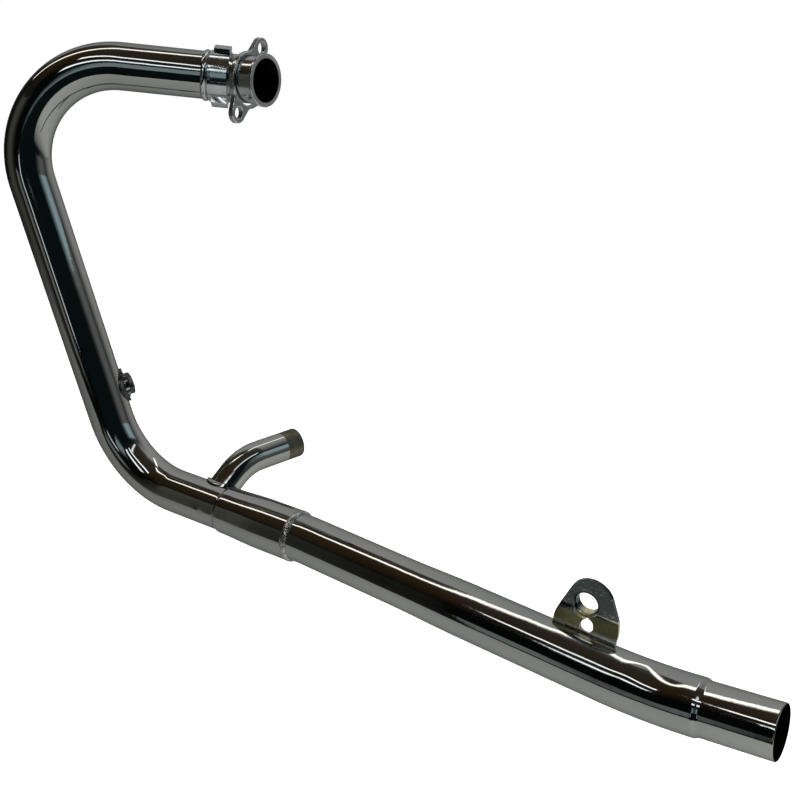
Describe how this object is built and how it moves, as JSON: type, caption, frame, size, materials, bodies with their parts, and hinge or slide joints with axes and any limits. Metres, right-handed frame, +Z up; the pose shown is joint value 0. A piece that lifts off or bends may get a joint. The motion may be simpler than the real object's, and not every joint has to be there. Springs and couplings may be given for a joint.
{
  "type": "motorcycle exhaust header",
  "caption": "Chromed motorcycle exhaust header: a bent pipe with a ribbed port elbow and loose eared flange, a cross branch, a welded mounting bracket and a tail spigot for the silencer.",
  "frame": {"origin": "centre of the port face, where the pipe meets the cylinder head", "axes": "+X along the port axis away from the cylinder head (forward on the motorcycle), +Y left, +Z up; the frame is the one the pipe has when fitted"},
  "size_m": [0.5729, 0.1459, 0.3547],
  "materials": {
    "chrome": "bright chrome plate, lightly smudged",
    "casting": "dull dark grey plating",
    "weld": "plated weld bead",
    "plug": "dark plain steel"
  },
  "bodies": {
    "pipe": {"header_pipe": "chrome", "port_elbow": "casting", "hub_weld": "weld", "port_ring": "casting", "test_boss": "chrome", "boss_weld": "weld", "test_plug": "plug", "branch_pipe": "chrome", "branch_weld": "weld", "rear_tube": "chrome", "bell_weld": "weld", "mount_bracket": "chrome", "bracket_weld": "weld"},
    "flange": {"port_flange": "casting"}
  },
  "joints": [
    {"name": "flange_slide", "type": "slide", "parent": "pipe", "child": "flange", "axis": [-1, 0, 0], "range_m": [-0.0015, 0.011]}
  ]
}
